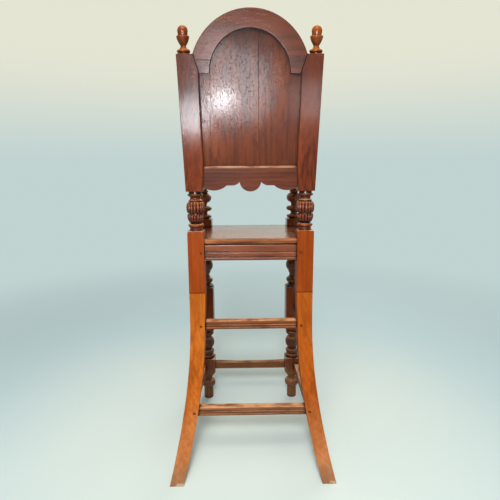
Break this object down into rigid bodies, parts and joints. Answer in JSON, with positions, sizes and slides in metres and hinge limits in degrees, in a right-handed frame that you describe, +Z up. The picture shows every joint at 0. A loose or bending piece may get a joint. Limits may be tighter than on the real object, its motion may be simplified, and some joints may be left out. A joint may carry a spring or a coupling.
{
  "type": "high chair",
  "caption": "Tall joined oak high chair with an arched panel back, acorn finials, gadrooned posts, turned front legs and sabre rear legs, for seating a child at table height.",
  "frame": {"origin": "on the floor, under the middle of the chair's bounding box", "axes": "+Z up, -Y the way the sitter faces, +X the sitter's left"},
  "size_m": [0.3838, 0.4368, 1.0429],
  "materials": {
    "rear_leg_oak": "waxed oak, worn orange-brown",
    "post_oak": "polished oak, dark red-brown",
    "front_leg_oak": "turned oak, dark brown",
    "rail_oak": "run-moulded oak, worn on its upper edges",
    "seat_oak": "polished oak, worn at its edges",
    "arch_oak": "polished oak, dark red-brown",
    "panel_oak": "oak boards with open grain under gloss polish",
    "finial_oak": "turned oak, honey brown gloss",
    "peg_oak": "cleft oak pegs"
  },
  "bodies": {
    "root": {"arm_left": "post_oak", "arm_pegs": "peg_oak", "arm_right": "post_oak", "back_board_narrow": "panel_oak", "back_board_wide": "panel_oak", "back_bottom_rail": "arch_oak", "back_rail_pegs": "peg_oak", "crest_arch": "arch_oak", "crest_end_patch": "arch_oak", "finial_left": "finial_oak", "finial_right": "finial_oak", "front_leg_left": "front_leg_oak", "front_leg_right": "front_leg_oak", "front_stretcher": "rail_oak", "rear_leg_left": "rear_leg_oak", "rear_leg_right": "rear_leg_oak", "rear_post_left": "post_oak", "rear_post_right": "post_oak", "rear_stretcher_lower": "rail_oak", "rear_stretcher_upper": "rail_oak", "seat_board": "seat_oak", "seat_pegs": "peg_oak", "seat_rail_front": "rail_oak", "seat_rail_pegs": "peg_oak", "seat_rail_rear": "rail_oak", "seat_rail_side_left": "rail_oak", "seat_rail_side_right": "rail_oak", "side_stretcher_lower_left": "rail_oak", "side_stretcher_lower_right": "rail_oak", "side_stretcher_upper_left": "rail_oak", "side_stretcher_upper_right": "rail_oak", "splice_dowels": "peg_oak", "stretcher_pegs": "peg_oak"}
  },
  "joints": []
}
